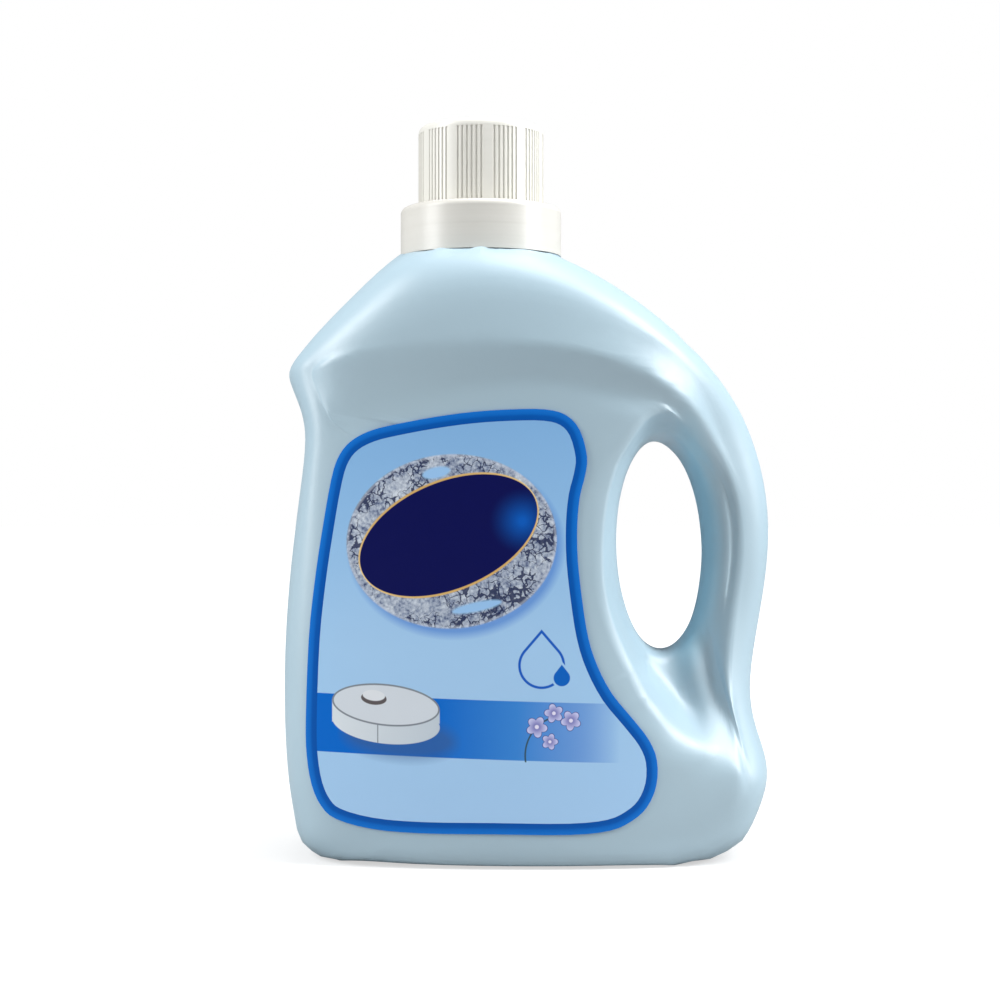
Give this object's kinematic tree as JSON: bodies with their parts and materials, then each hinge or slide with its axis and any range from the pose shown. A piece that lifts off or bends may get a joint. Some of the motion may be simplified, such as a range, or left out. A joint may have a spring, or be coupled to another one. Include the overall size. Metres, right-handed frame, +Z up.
{
  "type": "floor cleaner bottle",
  "caption": "Blow-moulded jug for a household cleaning liquid, with a pierced side handle, an ivory collar with a pour spout, a ribbed screw cap and printed labels.",
  "frame": {"origin": "middle of the bounding box in X and Y, on the floor plane under the base", "axes": "+Z up along the neck, +X towards the handle, -Y out of the front label; the parting plane of the jug is Y = 0"},
  "size_m": [0.181, 0.094, 0.2695],
  "materials": {
    "jug_plastic": "satin, pale ice blue",
    "ivory_plastic": "semi-gloss, warm ivory",
    "liner_foam": "matt white foam",
    "label_film": "glossy printed film in blues"
  },
  "bodies": {
    "jug": {"bottle": "jug_plastic", "spout_collar": "ivory_plastic", "front_label": "label_film", "back_label": "label_film"},
    "liner": {"cap_liner": "liner_foam"},
    "cap": {"cap": "ivory_plastic"}
  },
  "joints": [
    {"name": "cap_lift", "type": "slide", "parent": "jug", "child": "liner", "axis": [0, 0, 1], "range_m": [0, 0.044]},
    {"name": "cap_turn", "type": "hinge", "parent": "liner", "child": "cap", "pos_m": [-0.01747, 0, 0.25], "axis": [0, 0, 1], "range_deg": [0, 1585]}
  ],
  "couplings": [
    {"joint": "cap_turn", "follows": "cap_lift", "rad_per_m": 628.32}
  ]
}
